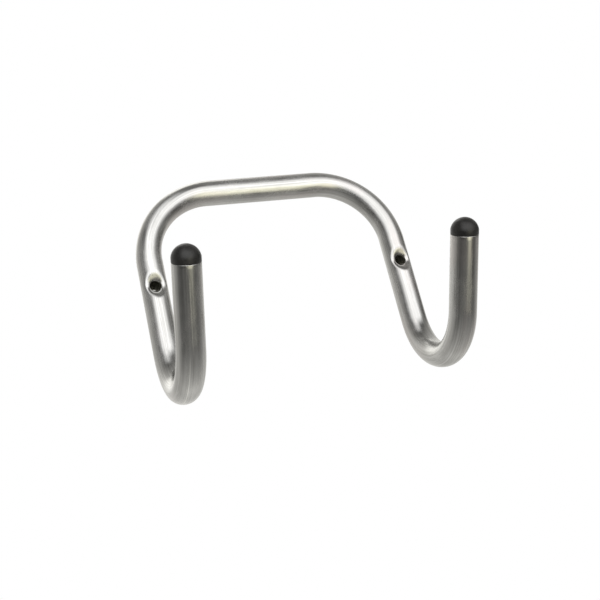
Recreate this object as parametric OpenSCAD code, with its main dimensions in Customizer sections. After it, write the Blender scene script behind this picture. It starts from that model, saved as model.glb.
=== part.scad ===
// Wall hook that stores a bicycle: one steel tube, bent four times into a frame
// that lies on the wall and two upturned hooks. Each leg has a pressed screw
// seat, and each open end of the tube holds a domed plug.
// +Z is up and the wall is the plane y = 0, behind the tube. The origin lies on
// the wall, midway between the two screw holes.

/* [Tube] */
// Outside diameter of the tube
tube_d = 20; // [16:0.5:26]
// Wall thickness of the tube
tube_wall = 1.5; // [1:0.1:2.5]

/* [Wall frame] */
// Straight length of the top bar, between its corner bends
bar_length = 88; // [30:1:240]
// Centreline radius of the two corner bends
corner_r = 56; // [35:1:100]
// Straight length of each leg, from its corner bend to its hook bend
leg_length = 70; // [50:1:180]

/* [Hooks] */
// Centreline radius of the two hook bends
hook_r = 45; // [30:1:90]
// Angle that each hook bend turns through, from straight down
hook_turn = 142; // [100:1:170]
// Straight length of each front arm, above its hook bend
arm_length = 56; // [30:1:160]

/* [Screw seats] */
// Diameter of the hole in the pressed seat
seat_hole_d = 9; // [6:0.5:10]
// Diameter of the screw hole in the wall behind it
screw_hole_d = 6.5; // [4:0.5:8]
// Distance of both holes below the end of the corner bend
hole_drop = 21; // [17:0.5:34]
// Flat ring round the seat's hole, at the bottom of the pressed cone
seat_land = 0.3; // [0.2:0.1:2]
// Depth of that ring below the front of the leg
seat_depth = 4; // [2:0.25:6]
// Included angle of the pressed cone
seat_angle = 90; // [80:1:110]
// Radius of the rounded shoulder, where the wall turns into the cone
shoulder_r = 3; // [2.4:0.1:6]

/* [End plugs] */
// Height of the straight collar, flush with the tube
collar_h = 3.5; // [2:0.5:10]
// Height of the dome above the collar
dome_h = 8.5; // [3:0.5:12]
// Length of the stem inside the tube
stem_length = 18; // [10:1:26]
// Gap between the stem's fins and the bore, on the radius
stem_clearance = 0.1; // [0.05:0.05:0.4]
// Thickness of the stem's hollow wall
stem_wall = 1.6; // [1:0.1:2.5]
// How far each fin stands out of the stem
fin_height = 1.1; // [0.5:0.1:1.6]
// Number of fins round the stem
fin_count = 4; // [2:1:6]
// Thickness of the fins at their root
fin_root = 1.4; // [0.8:0.1:1.8]

/* [Hidden] */
$fn = 96;
LEFT = -1;
RIGHT = 1;
tube_r = tube_d / 2;
bore_r = tube_r - tube_wall;
seat_hole_r = seat_hole_d / 2;
screw_hole_r = screw_hole_d / 2;
// centreline of the frame, seen from the front
leg_x = bar_length / 2 + corner_r;
frame_y = -tube_r;
leg_top_z = hole_drop;
leg_bottom_z = leg_top_z - leg_length;
bar_z = leg_top_z + corner_r;
// cone of the screw seat, as the slope of its side from the leg's front
seat_slope = 90 - seat_angle / 2;
seat_floor_r = seat_hole_r + seat_land;
// the shoulder's arc starts just in front of the leg, so it meets the tube at an angle
shoulder_lip = 0.25;
// ends of cuts stand this far clear of what they cut
clear = 1;
// Straight stretches run this far into the bends, whose wall is a hair thicker on
// both faces, so that all stretches join into one solid at any bend angle.
join = 0.4;
swell = 0.02;
// ball that the plug's dome is cut from
dome_ball_r = (pow(tube_r, 2) + pow(dome_h, 2)) / (2 * dome_h);
fin_tip = 0.4;
fin_tip_r = bore_r - stem_clearance;
stem_r = fin_tip_r - fin_height;
fin_pitch = (stem_length - fin_root) / fin_count;

// Section of the tube, as a flat ring with its wall thicker by more on each face.
module tube_section(more = 0) {
    difference() {
        circle(r = tube_r + more);
        circle(r = bore_r - more);
    }
}

// Straight tube along Z, from one height to another.
module straight_tube(from, to) {
    translate([0, 0, from]) linear_extrude(height = to - from) tube_section();
}

// Bent tube round the Z axis, from the angle first through the angle turn.
module bent_tube(radius, first, turn) {
    rotate_extrude(angle = turn, start = first) translate([radius, 0]) tube_section(swell);
}

// Half outline of the punch that presses a seat, grown by a given amount. The
// axis is x = 0, the front of the leg is y = 0 and the punch comes from +Y.
// A flat floor and a cone run into an arc whose centre never moves, so a grown
// punch is the same form one wall thickness further in.
module punch_outline(grow) {
    lip_y = shoulder_lip - grow;
    floor_y = -seat_depth - grow;
    floor_r = seat_floor_r + grow * tan(seat_slope / 2);
    arc_r = shoulder_r - grow;
    rim_r = floor_r + (lip_y - floor_y) / tan(seat_slope);
    tangent = arc_r * tan(seat_slope / 2);
    arc_x = rim_r + tangent;
    cone_end = [rim_r - tangent * cos(seat_slope), lip_y - tangent * sin(seat_slope)];
    polygon([[0, clear], [0, floor_y], [floor_r, floor_y], [rim_r, lip_y],
             [arc_x, lip_y], [arc_x, clear]]);
    difference() {
        polygon([[rim_r, lip_y], cone_end, [arc_x, lip_y - arc_r], [arc_x, lip_y]]);
        translate([arc_x, lip_y - arc_r]) circle(r = arc_r);
    }
}

// Solid punch on the hole's axis, pressing towards -Z from the front of the leg at z = 0.
module punch(grow) {
    rotate_extrude() punch_outline(grow);
}

// Puts a child whose z = 0 is the leg's front, and whose +Z leaves the wall,
// at the seat of a leg that hangs straight down from the origin.
module at_leg_seat() {
    translate([0, -tube_r, -hole_drop]) rotate([90, 0, 0]) children();
}

// One leg, hanging from the origin, with its pressed seat. The wall keeps its
// thickness: the bore stops at the punch grown by one wall. Punching widens the
// hole in the seat, so the hole in the wall behind it is the one that fits the screw.
module leg() {
    difference() {
        translate([0, 0, -leg_length - join]) cylinder(r = tube_r, h = leg_length + 2 * join);
        at_leg_seat() punch(0);
        difference() {
            translate([0, 0, -leg_length - clear]) cylinder(r = bore_r, h = leg_length + 2 * clear);
            at_leg_seat() punch(tube_wall);
        }
        at_leg_seat() translate([0, 0, -tube_r]) cylinder(r = seat_hole_r, h = tube_r + clear);
        at_leg_seat() translate([0, 0, -tube_d - clear]) cylinder(r = screw_hole_r, h = tube_r + clear);
    }
}

// Places a child at the open end of an arm: +Z leaves the tube along its axis.
module at_arm_end(side) {
    translate([side * leg_x, frame_y - hook_r, leg_bottom_z])
        rotate([180 - hook_turn, 0, 0])
            translate([0, -hook_r, arm_length]) children();
}

// The top bar, between its two corner bends.
module top_bar() {
    half = bar_length / 2 + join;
    translate([0, frame_y, bar_z]) rotate([0, 90, 0]) straight_tube(-half, half);
}

// From one end of the top bar to the open end on that side.
module half_frame(side) {
    translate([side * bar_length / 2, frame_y, bar_z - corner_r])
        rotate([90, 0, 0]) bent_tube(corner_r, side == RIGHT ? 0 : 90, 90);
    translate([side * leg_x, frame_y, leg_top_z]) leg();
    translate([side * leg_x, frame_y - hook_r, leg_bottom_z])
        rotate([0, 90, 0]) bent_tube(hook_r, 90 - hook_turn, hook_turn);
    at_arm_end(side) straight_tube(-arm_length - join, 0);
}

// The whole tube, bent from one length.
module hook_tube() {
    color("silver") {
        top_bar();
        half_frame(LEFT);
        half_frame(RIGHT);
    }
}

// Half outline of a plug's head: a straight collar on the tube's cut end, then a dome.
module head_outline() {
    square([tube_r, collar_h]);
    intersection() {
        translate([0, collar_h + dome_h - dome_ball_r]) circle(r = dome_ball_r);
        translate([0, collar_h]) square([tube_r, dome_h]);
    }
}

// Half outline of the hollow stem, with fins that slope back towards the head.
module stem_outline() {
    translate([stem_r - stem_wall, -stem_length]) square([stem_wall, stem_length]);
    for (i = [0 : fin_count - 1])
        translate([stem_r, -stem_length + i * fin_pitch])
            polygon([[-stem_wall / 2, 0], [0, 0], [fin_height, fin_root - fin_tip],
                     [fin_height, fin_root], [-stem_wall / 2, fin_root]]);
}

// One plug, with its head on the plane z = 0 and its stem below.
module end_plug() {
    color("dimgray") rotate_extrude() {
        head_outline();
        stem_outline();
    }
}

module end_plug_left() {
    at_arm_end(LEFT) end_plug();
}

module end_plug_right() {
    at_arm_end(RIGHT) end_plug();
}

hook_tube();
end_plug_left();
end_plug_right();
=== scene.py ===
# %% [markdown]
# # A wall hook for a bicycle, bent from one steel tube
#
# The real hook is one length of plated steel tube and two black plastic plugs. A bending
# machine puts four bends in the tube: two corners beside a top bar, and two hooks below
# the legs. A punch presses a screw seat into each leg, and a plug closes each cut end.
#
# The measured model comes first. It holds every size and place, so the surfaces made
# below are laid over it, and the tube is printed beside its box, to show that they agree.

# %% Load the measured frame
import math

import bpy
import numpy as np
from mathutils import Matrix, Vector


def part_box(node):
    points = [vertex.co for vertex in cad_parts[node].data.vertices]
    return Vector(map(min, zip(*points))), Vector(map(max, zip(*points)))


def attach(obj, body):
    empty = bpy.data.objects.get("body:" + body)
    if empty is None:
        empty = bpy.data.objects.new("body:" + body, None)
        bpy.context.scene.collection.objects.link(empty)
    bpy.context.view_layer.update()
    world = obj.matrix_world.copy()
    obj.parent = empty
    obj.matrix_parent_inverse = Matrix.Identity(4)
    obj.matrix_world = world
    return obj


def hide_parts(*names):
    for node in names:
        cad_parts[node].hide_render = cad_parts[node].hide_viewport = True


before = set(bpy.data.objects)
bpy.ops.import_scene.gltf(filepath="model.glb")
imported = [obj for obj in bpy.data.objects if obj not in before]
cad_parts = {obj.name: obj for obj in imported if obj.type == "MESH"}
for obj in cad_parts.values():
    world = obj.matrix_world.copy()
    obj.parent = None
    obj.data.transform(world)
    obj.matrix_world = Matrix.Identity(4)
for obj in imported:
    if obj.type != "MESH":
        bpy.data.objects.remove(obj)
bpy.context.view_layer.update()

MM = 0.001
print("frame nodes:", sorted(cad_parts))

# %% [markdown]
# ## From whole arrays to a mesh
#
# Each surface below is a grid: numpy works out all of its points at once from two
# parameters. One helper turns such arrays into a mesh. It could be done with bmesh,
# one vertex at a time, but arrays are shorter and show the formula. Doubled points along
# a seam or at a pole are merged at the end, and the normals are made to face outwards.

# %% Helpers for grids and meshes
SHARP_ANGLE = 38
MERGE_MM = 0.0005


def quads(index):
    """Faces of a grid of vertex numbers, (rows, columns): each cell's four corners."""
    corners = [index[:-1, :-1], index[1:, :-1], index[1:, 1:], index[:-1, 1:]]
    return np.stack(corners, -1).reshape(-1, 4)


def closed(index, rows=True):
    """The same grid of vertex numbers, with its first column, and row, repeated at the end."""
    index = np.concatenate([index, index[:, :1]], 1)
    return np.concatenate([index, index[:1]]) if rows else index


def add_piece(name, points, faces, replaced, layers=()):
    """Makes a piece from points in millimetres, (n, 3), and faces, (m, 4), and hides its CAD node.

    Points that no face uses are dropped: the faces' numbers are looked up in the sorted
    list of the numbers that are used. layers are (name, values) for vectors at the points.
    """
    used = np.unique(faces)
    faces = np.searchsorted(used, faces)
    mesh = bpy.data.meshes.new(name)
    mesh.from_pydata((points[used] * MM).tolist(), [], faces.tolist())
    for layer, values in layers:
        made = mesh.attributes.new(layer, "FLOAT_VECTOR", "POINT")
        made.data.foreach_set("vector", values[used].astype(np.float32).ravel())
    piece = bpy.data.objects.new(name, mesh)
    bpy.context.scene.collection.objects.link(piece)
    tidy_mesh(mesh)
    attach(piece, "root")
    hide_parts(replaced)
    print(f"{name}: {len(mesh.vertices)} points, {len(mesh.polygons)} faces")
    return piece


def tidy_mesh(mesh):
    """Merges doubled points, turns the normals outwards and shades smooth, with sharp edges kept."""
    import bmesh
    work = bmesh.new()
    work.from_mesh(mesh)
    bmesh.ops.remove_doubles(work, verts=work.verts, dist=MERGE_MM * MM)
    bmesh.ops.dissolve_degenerate(work, edges=work.edges, dist=MERGE_MM * MM)
    bmesh.ops.recalc_face_normals(work, faces=work.faces)
    open_edges = sum(1 for edge in work.edges if not edge.is_manifold)
    work.to_mesh(mesh)
    work.free()
    mesh.shade_smooth()
    mesh.set_sharp_from_angle(angle=math.radians(SHARP_ANGLE))
    print("open or doubled edges:", open_edges)


# %% [markdown]
# ## The centreline
#
# On the real part the tube starts straight and is bent in four places. The path is built
# in the same order: a list of straights and bends, each of which starts where the last one
# ended. Each ring of the path carries three axes. Forward runs along the tube, front faces
# the room on the legs and the bar, and inward faces the middle of the frame. A curve object
# could carry the tube instead, but then Blender would choose how the section turns, and
# the screw seats need to know exactly which way is front.

# %% Sizes of the tube, in millimetres
TUBE_R = 10.0
WALL = 1.5
BORE_R = TUBE_R - WALL
BAR_LENGTH = 88.0
CORNER_R = 56.0
LEG_LENGTH = 70.0
HOOK_R = 45.0
HOOK_TURN = 142.0
ARM_LENGTH = 56.0
HOLE_DROP = 21.0
BAR_Z = HOLE_DROP + CORNER_R

# The seat's window is a stretch of the leg whose rings are close together.
WINDOW_HALF = 16.0
WINDOW_RINGS = 16
RING_STEP = 3.0

# %% Straights and bends
POINT, FORWARD, FRONT, INWARD = range(4)


def straight(start, length, rings=None):
    """Rings along a straight: the point moves along forward, and the axes stay as they are."""
    rings = rings or math.ceil(length / RING_STEP)
    travel = np.linspace(0, length, rings + 1)[1:]
    run = np.repeat(start[None], rings, 0)
    run[:, POINT] += travel[:, None] * start[FORWARD]
    return run, travel, np.zeros((rings, 2))


def bend(start, toward, radius, turn):
    """Rings round a bend of one radius, towards one of the side axes.

    The point moves by radius * sin(angle) forward and radius * (1 - cos(angle)) to the side,
    and forward turns towards that side axis. The last array says how far each ring is into
    the bend, in the column of its side axis: 0 at the ends of the bend and 1 in the middle.
    """
    rings = math.ceil(radius * math.radians(turn) / RING_STEP)
    share = np.linspace(0, 1, rings + 1)[1:]
    angle = np.radians(turn) * share[:, None]
    run = np.repeat(start[None], rings, 0)
    side = start[toward]
    run[:, POINT] += radius * (np.sin(angle) * start[FORWARD] + (1 - np.cos(angle)) * side)
    run[:, FORWARD] = np.cos(angle) * start[FORWARD] + np.sin(angle) * side
    run[:, toward] = np.cos(angle) * side - np.sin(angle) * start[FORWARD]
    depth = np.zeros((rings, 2))
    depth[:, toward - FRONT] = 1 - (2 * share - 1) ** 4
    return run, radius * angle[:, 0], depth


def half_path():
    """The path from the middle of the bar to the open end on the +X side."""
    middle = np.array([[0, -TUBE_R, BAR_Z], [1, 0, 0], [0, -1, 0], [0, 0, -1]], float)
    run, travel, depth = middle[None], np.zeros(1), np.zeros((1, 2))
    steps = [
        (straight, BAR_LENGTH / 2),
        (bend, INWARD, CORNER_R, 90),
        (straight, HOLE_DROP - WINDOW_HALF),
        (straight, 2 * WINDOW_HALF, WINDOW_RINGS),
        (straight, LEG_LENGTH - HOLE_DROP - WINDOW_HALF),
        (bend, FRONT, HOOK_R, HOOK_TURN),
        (straight, ARM_LENGTH),
    ]
    for make, *sizes in steps:
        more, further, deep = make(run[-1], *sizes)
        run = np.concatenate([run, more])
        travel = np.concatenate([travel, travel[-1] + further])
        depth = np.concatenate([depth, deep])
    return run, travel, depth


def whole_path():
    """Both halves: the second is the first one mirrored in x, walked the other way."""
    run, travel, depth = half_path()
    mirrored = run[:0:-1] * np.array([-1, 1, 1])
    mirrored[:, FORWARD] *= -1
    path = np.concatenate([mirrored, run])
    along = np.concatenate([-travel[:0:-1], travel])
    return path, along, np.concatenate([depth[:0:-1], depth])


path, along, bent = whole_path()
SEAT_ALONG = BAR_LENGTH / 2 + CORNER_R * math.pi / 2 + HOLE_DROP
print(f"path: {len(path)} rings, {along[-1] * 2:.1f} mm long")
print("open end, mm:", path[-1, POINT].round(2))

# %% [markdown]
# ## The section, and what bending does to it
#
# A tube that is bent without a filling goes slightly oval: it gets thinner in the plane of
# the bend and wider across it. That shows where the highlight swells in each bend, so the
# section's two half widths change a little along the path.

# %% Half widths of the section along the path
CORNER_THINNER = 0.05
HOOK_THINNER = 0.03
HOOK_WIDER = 0.03

front_width = 1 - HOOK_THINNER * bent[:, 0]
inward_width = 1 + HOOK_WIDER * bent[:, 0] - CORNER_THINNER * bent[:, 1]
print("narrowest across the corners, mm:", round(2 * TUBE_R * inward_width.min(), 2))

# %% [markdown]
# ## The pressed screw seats
#
# A conical punch pushes the front of each leg in, so that a countersunk screw sits below
# the surface. The wall isn't cut: it bends over a rounded shoulder and runs down the cone
# to the hole. A boolean cut would leave a thin knife edge there. Here the seat is a formula
# for the height of the surface in front of the tube's centre: the lower of the round tube
# and the cone, blended where they are close, which gives the soft shoulder.

# %% Height of the pressed surface
SEAT_HOLE_R = 4.5
SCREW_HOLE_R = 3.25
SEAT_FLOOR_R = 3.7
SEAT_DEPTH = 4.4
SEAT_SLOPE = math.tan(math.radians(45))
FLOOR_BLEND = 0.8
SHOULDER_ALONG = 4.2
SHOULDER_ACROSS = 6.5


def soft_min(a, b, reach):
    """The lower of a and b. Closer than reach to each other, it dips below both by a square law."""
    return np.minimum(a, b) - np.clip(reach - np.abs(a - b), 0, None) ** 2 / (4 * reach)


def pressed(height, across, down, grown=0.0):
    """Height of the wall where the punch met it, at a place across and down from the hole.

    The punch is a flat floor that turns into a cone, as the higher of two planes of its
    own section. grown moves it in by the wall, for the bore's side of the sheet.
    """
    out = np.hypot(across, down)
    floor = TUBE_R - SEAT_DEPTH - grown
    floor_r = SEAT_FLOOR_R + grown * math.tan(math.radians(22.5))
    cone = floor - soft_min(0, -(out - floor_r) * SEAT_SLOPE, FLOOR_BLEND)
    sideways = np.divide(across, out, out=np.zeros_like(out), where=out > 0) ** 2
    reach = SHOULDER_ALONG + (SHOULDER_ACROSS - SHOULDER_ALONG) * sideways
    return soft_min(height, cone, reach * (1 - grown / (2 * SHOULDER_ALONG)))


depth_now = TUBE_R - pressed(np.array(TUBE_R), np.array(SEAT_HOLE_R), np.array(0.0))
print(f"depth of the seat at the hole's edge: {depth_now:.2f} mm")

# %% [markdown]
# ## The tube as one closed skin
#
# The wall of a tube has an outside, a bore and two cut ends. Together they are one closed
# sheet: along the outside, round the cut edge, back through the bore and round the other
# edge. So the whole wall is a single grid, closed both ways, and no thickness has to be
# added afterwards. Solidify would do it too, but it can't turn a neat drilled edge.

# %% The grid's rows and columns
COLUMNS = 80
EDGE_R = 0.35
EDGE_STEPS = 4

around = np.linspace(-math.pi, math.pi, COLUMNS, endpoint=False)
turn = np.linspace(0, math.pi / 2, EDGE_STEPS + 1)
# (shift along the tube, radius) down the cut face, from the outside to the bore
edge_shift = EDGE_R * np.concatenate([np.sin(turn) - 1, np.cos(turn) - 1])
edge_radius = np.concatenate([TUBE_R - EDGE_R + EDGE_R * np.cos(turn),
                              BORE_R + EDGE_R - EDGE_R * np.sin(turn)])
last = len(path) - 1
outside = np.arange(1, last)
rows = np.concatenate([outside, np.full(len(turn) * 2, last), outside[::-1], np.full(len(turn) * 2, 0)])
shift = np.concatenate([0 * outside, edge_shift, 0 * outside, -edge_shift[::-1]])
radius = np.concatenate([TUBE_R + 0 * outside, edge_radius, BORE_R + 0 * outside, edge_radius[::-1]])
print("rows of the closed skin:", len(rows))

# %% Points of the skin
def wall_points(row, shift, radius, angle):
    """Points of the wall on a ring of the path: centre + front * height + inward * across.

    Height and across are the cosine and sine of the angle times the radius and the half
    widths there, and the height is pressed down round the screw hole.
    """
    ring = path[row]
    across = radius * np.sin(angle) * inward_width[row]
    height = radius * np.cos(angle) * front_width[row]
    down = np.abs(along[row] + shift) - SEAT_ALONG
    height = pressed(height, across, down + 0 * across, (TUBE_R - radius) + 0 * across)
    return (ring[..., POINT, :] + shift[..., None] * ring[..., FORWARD, :]
            + height[..., None] * ring[..., FRONT, :] + across[..., None] * ring[..., INWARD, :])


def way_round(row, angle):
    """The way round the tube at each point: the front axis turned towards the inward one."""
    ring = path[row]
    return (np.cos(angle)[..., None] * ring[..., INWARD, :]
            - np.sin(angle)[..., None] * ring[..., FRONT, :])


def straight_place(row, shift, radius, angle):
    """Where the point lay before the tube was bent, in metres: a round section, and z along it."""
    z = along[row] + shift + 0 * angle
    return np.stack([radius * np.cos(angle), radius * np.sin(angle), z], -1) * MM


grid = (rows[:, None], shift[:, None], radius[:, None], around[None])
points = wall_points(*grid)
before = straight_place(*grid)
way = way_round(rows[:, None], np.broadcast_to(around, (len(rows), COLUMNS)))
index = np.arange(len(rows) * COLUMNS).reshape(len(rows), COLUMNS)
print("box of the skin, mm:", points.reshape(-1, 3).min(0).round(2), points.reshape(-1, 3).max(0).round(2))

# %% [markdown]
# ## Drilled holes in a grid
#
# A round hole doesn't fit a grid of squares. So a window of cells is taken out round each
# screw hole, and a patch fills it: its outer ring is the window's own edge, its inner ring
# is the hole's circle, and the rings between slide from one to the other. The patch uses
# the same height formula as the grid, so nothing shows where they meet. Each leg has a
# pressed seat in front and a plain drilled hole at the back, each through both faces.

# %% Windows and patches
HOLE_EDGE_R = 0.15
CLOSER = 1.5
SEAT_WINDOW = dict(hole_r=SEAT_HOLE_R, middle=COLUMNS // 2, half_columns=18,
                   half_rings=WINDOW_RINGS // 2, slides=32)
REAR_WINDOW = dict(hole_r=SCREW_HOLE_R, middle=0, half_columns=8, half_rings=4, slides=8)

cells = np.ones((len(rows), COLUMNS), bool)
all_points, all_before, all_ways = [points.reshape(-1, 3)], [before.reshape(-1, 3)], [way.reshape(-1, 3)]
patch_faces = []


def border(table):
    """The edge of a 2-D array, once round."""
    return np.concatenate([table[0, :-1], table[:-1, -1], table[-1, :0:-1], table[:0:-1, 0]])


def window_lines(ring, half_rings, bore):
    """The window's rings of the path, and the grid's rows that lie on them."""
    rings = np.arange(ring - half_rings, ring + half_rings + 1)
    bore_start = len(outside) + 2 * len(turn)
    return rings, (bore_start + last - 1 - rings) if bore else rings - 1


def fill_window(ring, bore, hole_r, middle, half_columns, half_rings, slides):
    """Cuts a window, adds its patch and returns the numbers of the points round the hole.

    A point slides from the window's edge to the circle in the unrolled sheet, as
    (1 - share) * edge + share * circle, where the share of the way left is an even step to
    a power, so rings come closer together near the hole. The last rings shrink the circle
    by a quarter round, which breaks the hole's edge.
    """
    rings, lines = window_lines(ring, half_rings, bore)
    columns = np.arange(middle - half_columns, middle + half_columns + 1)
    cells[np.ix_(np.arange(lines.min(), lines.max()), columns[:-1] % COLUMNS)] = False
    size = BORE_R if bore else TUBE_R
    middle_angle = middle * 2 * math.pi / COLUMNS - math.pi
    away = np.broadcast_to((columns - middle) * 2 * math.pi / COLUMNS, (len(rings), len(columns)))
    down = np.broadcast_to((along[rings] - along[ring])[:, None], away.shape)
    edge_away, edge_down = border(away), border(down)
    bearing = np.arctan2(size * edge_away, edge_down)

    def circle(r):
        return np.arcsin(r * np.sin(bearing) / size), r * np.cos(bearing)

    share = 1 - (1 - np.linspace(0, 1, slides + 1)[:, None]) ** CLOSER
    rim_away, rim_down = circle(hole_r + HOLE_EDGE_R)
    round_in = (hole_r + HOLE_EDGE_R - HOLE_EDGE_R * np.sin(turn[1:]))[:, None]
    near_away, near_down = circle(round_in)
    angle = middle_angle + np.concatenate([(1 - share) * edge_away + share * rim_away, near_away])
    shift = np.concatenate([(1 - share) * edge_down + share * rim_down, near_down])
    made = wall_points(ring, shift, size, angle)
    sunk = np.concatenate([np.zeros(slides + 1), HOLE_EDGE_R * (1 - np.cos(turn[1:]))])
    inwards = (1 if bore else -1) * (1 if middle else -1)
    made = made + inwards * sunk[:, None, None] * path[ring, FRONT]
    first = sum(len(part) for part in all_points)
    numbers = first + np.arange(made.shape[0] * made.shape[1]).reshape(made.shape[:2])
    all_points.append(made.reshape(-1, 3))
    all_before.append(straight_place(ring, shift, size, angle).reshape(-1, 3))
    all_ways.append(way_round(ring, angle).reshape(-1, 3))
    patch_faces.append(quads(closed(numbers, rows=False)))
    return numbers[-1]


for side in (-1, 1):
    seat_ring = int(np.abs(along - side * SEAT_ALONG).argmin())
    for window in (SEAT_WINDOW, REAR_WINDOW):
        hole = np.stack([fill_window(seat_ring, bore, **window) for bore in (False, True)])
        patch_faces.append(quads(closed(hole, rows=False)))
    print("screw hole at, mm:", path[seat_ring, POINT].round(3))

# %% The tube itself
faces = np.concatenate([quads(closed(index))[cells.ravel()], *patch_faces])
tube = add_piece("bent_tube", np.concatenate(all_points), faces, "hook_tube",
                 [("before_bending", np.concatenate(all_before)), ("way_round", np.concatenate(all_ways))])
low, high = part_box("hook_tube")
made_box = np.array(tube.bound_box)
print("tube against its frame node, mm:", ((made_box.min(0) - low) / MM).round(2),
      ((made_box.max(0) - high) / MM).round(2))

# %% [markdown]
# ## The end plugs
#
# Each plug is moulded in one piece, with a head that is flush with the tube and a
# hollow stem that stays inside, whose fins grip the bore. It is a turned shape, so a
# half outline of radius and height is carried round the arm's axis. The head's lower edge
# is rounded, because that makes the fine dark line between plastic and steel.

# %% Outline of a plug, as (radius, height) in millimetres
COLLAR_H = 3.5
DOME_H = 8.5
PLUG_EDGE_R = 0.35
STEM_LENGTH = 18.0
STEM_WALL = 1.6
FIN_TIP_R = BORE_R - 0.1
FIN_HEIGHT = 1.1
FIN_ROOT = 1.4
FIN_TIP = 0.4
FIN_COUNT = 4
DOME_STEPS = 28
PLUG_COLUMNS = 96


def dome_outline():
    """From the top down: a ball that is cut where its radius is the tube's."""
    ball = (TUBE_R ** 2 + DOME_H ** 2) / (2 * DOME_H)
    angle = np.linspace(0, math.asin(TUBE_R / ball), DOME_STEPS + 1)
    return np.stack([ball * np.sin(angle), COLLAR_H + DOME_H - ball * (1 - np.cos(angle))], 1)


def head_edge():
    """The quarter round at the foot of the collar."""
    return np.stack([TUBE_R - PLUG_EDGE_R * (1 - np.cos(turn)), PLUG_EDGE_R * (1 - np.sin(turn))], 1)


def stem_outline():
    """Down the stem past its fins, round its open end and up inside to the axis."""
    stem_r = FIN_TIP_R - FIN_HEIGHT
    pitch = (STEM_LENGTH - FIN_ROOT) / FIN_COUNT
    foot = -STEM_LENGTH + pitch * np.arange(FIN_COUNT)[::-1, None]
    fin_r = stem_r + FIN_HEIGHT * np.array([0, 1, 1, 0])
    fin_z = np.array([FIN_ROOT, FIN_ROOT, FIN_ROOT - FIN_TIP, 0])
    fins = np.stack([np.broadcast_to(fin_r, (FIN_COUNT, 4)), foot + fin_z], -1).reshape(-1, 2)
    inner = stem_r - STEM_WALL
    return np.concatenate([[[stem_r, 0]], fins, [[inner, -STEM_LENGTH], [inner, 0], [0, 0]]])


outline = np.concatenate([dome_outline(), head_edge(), stem_outline()])
print("plug, mm:", outline[:, 1].max() - outline[:, 1].min(), "long,", len(outline), "outline points")

# %% Carry the outline round each arm's axis
def turned(outline, end, out):
    """Points end + out * height + (front * cos + inward * sin) * radius, for each angle."""
    angle = np.linspace(0, 2 * math.pi, PLUG_COLUMNS, endpoint=False)
    across = (np.cos(angle)[:, None] * end[FRONT] + np.sin(angle)[:, None] * end[INWARD])
    return (end[POINT] + outline[:, None, 1:] * out * end[FORWARD]
            + outline[:, None, :1] * across[None])


plugs = []
for name, ring, out in (("end_plug_left", 0, -1), ("end_plug_right", last, 1)):
    made = turned(outline, path[ring], out)
    numbers = np.arange(made.shape[0] * made.shape[1]).reshape(made.shape[:2])
    plugs.append(add_piece("plug_" + name[9:], made.reshape(-1, 3), quads(closed(numbers, rows=False)),
                           name))

# %% A small helper for node trees
class Nodes:
    """Adds nodes to a tree. A number or colour is set on its socket, and a socket is linked."""

    def __init__(self, tree):
        self.tree = tree

    def add(self, kind, *values, out=0, **settings):
        node = self.tree.nodes.new(kind)
        for key, value in settings.items():
            setattr(node, key, value)
        for socket, value in zip(node.inputs, values):
            self.set(socket, value)
        return node.outputs[out] if node.outputs else node

    def set(self, socket, value):
        if isinstance(value, bpy.types.NodeSocket):
            self.tree.links.new(value, socket)
        elif value is not None:
            socket.default_value = value

    def math(self, operation, *values):
        return self.add("ShaderNodeMath", *values, operation=operation)

    def dot(self, vector, axis):
        """How far a vector goes along an axis."""
        return self.add("ShaderNodeVectorMath", vector, axis, operation="DOT_PRODUCT", out=1)

    def mix(self, share, first, second):
        """The first colour where the share is 0, and the second where it is 1."""
        node = self.add("ShaderNodeMix", share, data_type="RGBA", out=2).node
        self.set(node.inputs[6], first)
        self.set(node.inputs[7], second)
        return node.outputs[2]

    def ramp(self, value, start, end, low=0.0, high=1.0):
        """From low at start to high at end, with a soft turn at both."""
        return self.add("ShaderNodeMapRange", value, start, end, low, high,
                        interpolation_type="SMOOTHSTEP")


# %% [markdown]
# ## Plated steel
#
# The tube is drawn through a die before it is bent, and the plating is thin, so the long
# fine marks of the die stay in the finish. They run along the tube and round every bend.
# A texture in object coordinates would cut straight through the bends. So each point keeps
# the place that it had before bending, and all patterns are drawn on the straight tube.
# Such marks also spread a highlight across the tube and not along it, which the shader's
# anisotropy does, once it is told which way is round the tube. The bore isn't plated: it
# stays dark and dull. That dark also runs up the lower part of each hole's wall, a dark
# ring round the hole that is partly bare steel and partly painted shade.
# Near-white lines along the seam, on short stretches of the arms and hooks, are painted highlights.

# %% Steel
STEEL_COLOUR = (0.645, 0.642, 0.63, 1)
STREAK_COLOUR = (0.48, 0.475, 0.46, 1)
SCRATCH_COLOUR = (0.80, 0.79, 0.76, 1)
STAIN_COLOUR = (0.61, 0.575, 0.56, 1)
# Near-white colour of the painted highlights on the seam.
PAINTED_HIGHLIGHT_COLOUR = (0.97, 0.96, 0.92, 1)
# The bore's bare steel. Up each hole's wall it also paints a dark ring, which is painted shade.
BARE_BORE_AND_HOLE_SHADE_COLOUR = (0.34, 0.33, 0.27, 1)
STEEL_ROUGHNESS = 0.21
STEEL_ANISOTROPY = 0.8
# Painted highlights on the seam, as (angle round the tube, from and to along it, in mm): 0 is front, 90 inward.
PAINTED_SEAM_HIGHLIGHTS = [(184.5, 318.0, 352.0), (197.0, 262.0, 300.0)]
PAINTED_HIGHLIGHT_WIDTH = 0.5
PAINTED_HIGHLIGHT_FADE = 12.0


def new_material(name):
    """An empty material: its node tree, its shader and a helper for more nodes."""
    material = bpy.data.materials.new(name)
    material.use_nodes = True
    return material, Nodes(material.node_tree), material.node_tree.nodes["Principled BSDF"]


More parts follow.
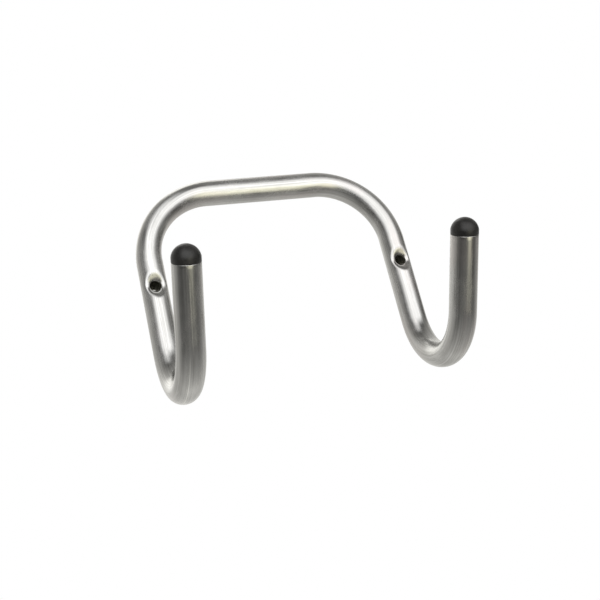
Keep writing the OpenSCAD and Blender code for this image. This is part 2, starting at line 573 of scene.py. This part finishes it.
def steel_material():
    """Drawn and plated steel, with its patterns on the tube as it was before bending."""
    material, nodes, shader = new_material("plated_steel")
    place = nodes.add("ShaderNodeAttribute", attribute_name="before_bending", out=1)
    side_x, side_y, side_z = nodes.add("ShaderNodeSeparateXYZ", place).node.outputs

    def streaks(across, along, detail):
        """Noise whose grain is so many times a metre across the tube and along it."""
        stretched = nodes.add("ShaderNodeMapping", place, None, None, (across, across, along))
        return nodes.add("ShaderNodeTexNoise", stretched, None, 1.0, detail, 0.6)

    die_marks = streaks(950, 12, 3)
    fine_marks = streaks(5200, 90, 2)
    clouds = streaks(70, 34, 3)
    radius = nodes.math("SQRT", nodes.math("ADD", nodes.math("MULTIPLY", side_x, side_x),
                                           nodes.math("MULTIPLY", side_y, side_y)))
    # 0 in the bore and 1 outside. Across each hole's wall the dark part is partly bare steel and partly painted
    # shade.
    plated = nodes.ramp(radius, (BORE_R + 0.15) * MM, (BORE_R + 0.6) * MM)
    behind = nodes.math("LESS_THAN", side_x, 0)
    from_middle = nodes.math("ABSOLUTE", side_z)
    # Near-white lines on the back of the tube, fading in and out along it: painted highlights on the seam.
    painted_highlights = 0.0
    for angle, start, end in PAINTED_SEAM_HIGHLIGHTS:
        aside = nodes.dot(place, (math.sin(math.radians(angle)), -math.cos(math.radians(angle)), 0))
        painted_highlight = nodes.ramp(nodes.math("ABSOLUTE", aside), 0, PAINTED_HIGHLIGHT_WIDTH * MM, 1, 0)
        begun = nodes.ramp(from_middle, (start - PAINTED_HIGHLIGHT_FADE) * MM, start * MM)
        ended = nodes.ramp(from_middle, end * MM, (end + PAINTED_HIGHLIGHT_FADE) * MM, 1, 0)
        painted_highlight = nodes.math("MULTIPLY", nodes.math("MULTIPLY", painted_highlight, behind), nodes.math("MULTIPLY", begun, ended))
        painted_highlights = nodes.math("MAXIMUM", painted_highlights, painted_highlight)
    mixed = nodes.ramp(nodes.math("ADD", nodes.math("MULTIPLY", die_marks, 0.6),
                                  nodes.math("MULTIPLY", clouds, 0.4)), 0.38, 0.62)
    colour = nodes.mix(mixed, STREAK_COLOUR, STEEL_COLOUR)
    scratched = nodes.ramp(nodes.math("MULTIPLY", streaks(1900, 130, 1), nodes.math("ADD", clouds, 0.5)),
                           0.66, 0.72)
    colour = nodes.mix(nodes.math("MULTIPLY", scratched, 0.5), colour, SCRATCH_COLOUR)
    stain = nodes.ramp(streaks(55, 16, 2), 0.48, 0.66, 0, 0.6)
    colour = nodes.mix(stain, colour, STAIN_COLOUR)
    colour = nodes.mix(nodes.math("MULTIPLY", painted_highlights, 0.8), colour, PAINTED_HIGHLIGHT_COLOUR)
    nodes.set(shader.inputs["Base Color"], nodes.mix(plated, BARE_BORE_AND_HOLE_SHADE_COLOUR, colour))
    dullness = nodes.ramp(clouds, 0.35, 0.65, STEEL_ROUGHNESS - 0.03, STEEL_ROUGHNESS + 0.05)
    rough = nodes.math("ADD", dullness, nodes.math("MULTIPLY", fine_marks, 0.05))
    nodes.set(shader.inputs["Roughness"], nodes.math("MAXIMUM", rough, nodes.ramp(
        plated, 0, 1, 0.65, 0)))
    nodes.set(shader.inputs["Metallic"], nodes.ramp(plated, 0, 1, 0.4, 1))
    shader.inputs["Anisotropic"].default_value = STEEL_ANISOTROPY
    nodes.set(shader.inputs["Tangent"], nodes.add("ShaderNodeAttribute", attribute_name="way_round", out=1))
    grain = nodes.math("ADD", nodes.math("MULTIPLY", die_marks, 0.7), nodes.math("MULTIPLY", fine_marks, 0.3))
    nodes.set(shader.inputs["Normal"], nodes.add("ShaderNodeBump", 0.25, 0.00002, None, grain))
    return material


steel = steel_material()
tube.data.materials.append(steel)
print("steel:", len(steel.node_tree.nodes), "nodes")

# %% [markdown]
# ## Plug plastic
#
# The plugs are moulded from soft black plastic in a mould with a fine matt grain, which
# spreads the soft box into a dull grey sheen. One roughness would do that, but it looks
# like paint. Here small specks of colour and roughness, and a shallow bump of the same
# grain, break the sheen up, as they do on the real part.

# %% Plastic
PLASTIC_COLOUR = (0.012, 0.0115, 0.0105, 1)
PLASTIC_WORN_COLOUR = (0.027, 0.0250, 0.0225, 1)
PLASTIC_ROUGHNESS = 0.40
GRAIN_PER_METRE = 1500


def plastic_material():
    """Matt black plastic, whose grain is noise in the plug's own coordinates."""
    material, nodes, shader = new_material("plug_plastic")
    place = nodes.add("ShaderNodeTexCoord", out=3)
    grain = nodes.add("ShaderNodeTexNoise", place, None, GRAIN_PER_METRE, 3, 0.7)
    patches = nodes.add("ShaderNodeTexNoise", place, None, GRAIN_PER_METRE / 12, 2, 0.5)
    worn = nodes.ramp(nodes.math("ADD", nodes.math("MULTIPLY", grain, 0.6),
                                 nodes.math("MULTIPLY", patches, 0.4)), 0.4, 0.66)
    nodes.set(shader.inputs["Base Color"], nodes.mix(worn, PLASTIC_COLOUR, PLASTIC_WORN_COLOUR))
    nodes.set(shader.inputs["Roughness"], nodes.ramp(
        patches, 0.35, 0.65, PLASTIC_ROUGHNESS - 0.04, PLASTIC_ROUGHNESS + 0.06))
    nodes.set(shader.inputs["Normal"], nodes.add("ShaderNodeBump", 0.35, 0.00004, None, grain))
    return material


plastic = plastic_material()
for plug in plugs:
    plug.data.materials.append(plastic)
print("plastic:", len(plastic.node_tree.nodes), "nodes")

# %% [markdown]
# ## Camera
#
# The picture was taken from the left and from below, close to the arms, with the camera
# a little tilted. The numbers were found by laying the outline of the model over the
# outline in the picture.

# %% Camera
from mathutils import Matrix

CAMERA_PLACE = (-243.9, -715.5, -300.7)
CAMERA_YAW = -19.82
CAMERA_PITCH = 20.36
CAMERA_ROLL = -13.81
CAMERA_LENS = 61.83

camera_data = bpy.data.cameras.new("camera")
camera_data.lens = CAMERA_LENS
camera_data.sensor_width = 36
camera_data.clip_start = 0.01
camera = bpy.data.objects.new("camera", camera_data)
bpy.context.scene.collection.objects.link(camera)
camera.matrix_world = (
    Matrix.Translation([c * MM for c in CAMERA_PLACE])
    @ Matrix.Rotation(math.radians(CAMERA_YAW), 4, "Z")
    @ Matrix.Rotation(math.radians(90 + CAMERA_PITCH), 4, "X")
    @ Matrix.Rotation(math.radians(CAMERA_ROLL), 4, "Z")
)
bpy.context.scene.camera = camera

# %% [markdown]
# ## The studio
#
# Metal has almost no look of its own: it shows the room. So the room is one world that
# depends only on direction, made of a few soft lights. A large soft box stands in front
# and gives the broad white bands on the legs and the bar. A warm one below it gives the
# narrow bands on the arms, and round glows stand for the backdrop, a side wall, the ceiling
# and the light that the floor throws back. A black flag at the right keeps the edges of the
# legs dark. Lamps could do this too, but metal would show the dark gaps between them. The
# places were found by following the view from the camera off each bit of steel. The
# camera itself sees plain white behind the hook.

# %% The room, by direction
# Headings and rises are in degrees: 0 looks into the wall, 90 along the bar, 180 at the room.
ROOM_COLOUR = (1.0, 0.99, 0.95, 1)
ROOM_LIGHT = 0.16
ROOM_GROWTH = 7.0
ROOM_MOST = 0.58
# (light, toward, how far it reaches)
ROOM_GLOWS = [
    (0.35, (53.0, 37.0), 90),
    (1.3, (13.8, 66.0), 16.0),
    (0.18, (287.5, 26.3), 49.4),
    (0.19, (47.5, -88.9), 67.4),
    (0.6, (350.0, 38.0), 24.0),
]
BLACK_FLAGS = [
    (0.43, (80.7, 11.0), 22.4),
    (0.14, (38.0, -10.0), 32.0),
    (0.09, (103.0, 50.0), 55.0),
]
CEILING_GLOW = (1.03, (199.5, 47.5), 22.4)
GLOW_CORE = 6
# (light, toward, half widths, widths of the soft edges)
SOFT_BOX = (1.86, (178.0, 9.7), (44.6, 28.1), (37.5, 31.9))
SOFT_BOX_COLOUR = (1.0, 1.0, 1.0, 1)
WARM_BOX = (1.37, (162.7, -31.7), (14.0, 16.8), (13.9, 8.2))
WARM_COLOUR = (1.0, 0.975, 0.76, 1)

world = bpy.data.worlds.new("studio")
bpy.context.scene.world = world
world.use_nodes = True
world.node_tree.nodes.clear()
sky = Nodes(world.node_tree)
direction = sky.add("ShaderNodeTexCoord", out=0)
toward_wall = sky.add("ShaderNodeSeparateXYZ", direction).node.outputs["Y"]


def facing(heading, rise):
    """Unit vector for a heading and a rise above level."""
    heading, rise = math.radians(heading), math.radians(rise)
    level = math.cos(rise)
    return level * math.sin(heading), level * math.cos(heading), math.sin(rise)


def glow(light, toward, reach):
    """A round light: full in its core, and none where the angle from its middle is the reach."""
    return sky.ramp(sky.dot(direction, facing(*toward)), math.cos(math.radians(reach)),
                    math.cos(math.radians(GLOW_CORE)), 0, light)


def card(light, toward, half, edge):
    """A rectangle of light round a direction: full inside, none past its soft edges.

    Its own axes are the way ahead, the level way aside and the way up between them. A
    direction's angle aside is the arctangent of its share aside over its share ahead.
    """
    ahead = np.array(facing(*toward))
    aside = np.array(facing(toward[0] + 90, 0))
    up = np.cross(aside, ahead)
    on_ahead = sky.dot(direction, ahead)
    inside = light
    for axis, half_angle, soft in zip((aside, up), half, edge):
        angle = sky.math("ABSOLUTE", sky.math("ARCTAN2", sky.dot(direction, axis), on_ahead))
        band = sky.ramp(angle, math.radians(half_angle - soft / 2), math.radians(half_angle + soft / 2), 1, 0)
        inside = sky.math("MULTIPLY", inside, band)
    return inside


room = sky.math("MINIMUM", sky.math("MULTIPLY", sky.math("POWER", ROOM_GROWTH, toward_wall),
                                    ROOM_LIGHT), ROOM_MOST)
for sizes in ROOM_GLOWS:
    room = sky.math("ADD", room, glow(*sizes))
for sizes in BLACK_FLAGS:
    room = sky.math("MAXIMUM", sky.math("SUBTRACT", room, glow(*sizes)), 0)
boxes = sky.math("ADD", card(*SOFT_BOX), glow(*CEILING_GLOW))
camera_ray = sky.add("ShaderNodeLightPath").node.outputs["Is Camera Ray"]
lit = sky.add("ShaderNodeAddShader", sky.add("ShaderNodeBackground", ROOM_COLOUR, room),
              sky.add("ShaderNodeBackground", SOFT_BOX_COLOUR, boxes))
lit = sky.add("ShaderNodeAddShader", lit, sky.add("ShaderNodeBackground", WARM_COLOUR, card(*WARM_BOX)))
white = sky.add("ShaderNodeBackground", (1, 1, 1, 1), 1.0)
sky.add("ShaderNodeOutputWorld", sky.add("ShaderNodeMixShader", camera_ray, lit, white))
bpy.context.scene.view_settings.view_transform = "Standard"
print("room:", len(world.node_tree.nodes), "nodes")

# %% [markdown]
# ## The floor
#
# The hook hangs on a wall, so the floor lies well below it, out of the picture. It is there
# for other views, where it keeps the hook's soft shadow. It is hidden from reflections
# only, because the room above already holds the light that a floor throws back. The
# camera sees it mixed with plain white, so it ends softly against the white behind it.

# %% Pale floor
FLOOR_Z = -420.0
FLOOR_HALF = 12000.0
FLOOR_COLOUR = (0.92, 0.92, 0.91, 1)
FLOOR_ROUGHNESS = 0.8
WHITE_SHARE = 0.6

corners = np.array([[-1, -1, 0], [1, -1, 0], [1, 1, 0], [-1, 1, 0]]) * FLOOR_HALF + [0, 0, FLOOR_Z]
floor_mesh = bpy.data.meshes.new("floor")
floor_mesh.from_pydata((corners * MM).tolist(), [], [[0, 1, 2, 3]])
floor = bpy.data.objects.new("floor", floor_mesh)
bpy.context.scene.collection.objects.link(floor)
floor.visible_glossy = False
floor_material, floor_nodes, floor_shader = new_material("floor")
floor_shader.inputs["Base Color"].default_value = FLOOR_COLOUR
floor_shader.inputs["Roughness"].default_value = FLOOR_ROUGHNESS
seen = floor_nodes.add("ShaderNodeLightPath").node.outputs["Is Camera Ray"]
white_floor = floor_nodes.add("ShaderNodeEmission", (1, 1, 1, 1), 1.0)
mixed_floor = floor_nodes.add("ShaderNodeMixShader", floor_nodes.math("MULTIPLY", seen, WHITE_SHARE),
                              floor_shader.outputs[0], white_floor)
floor_nodes.set(floor_material.node_tree.nodes["Material Output"].inputs["Surface"], mixed_floor)
floor_mesh.materials.append(floor_material)
print("floor at, mm:", FLOOR_Z)
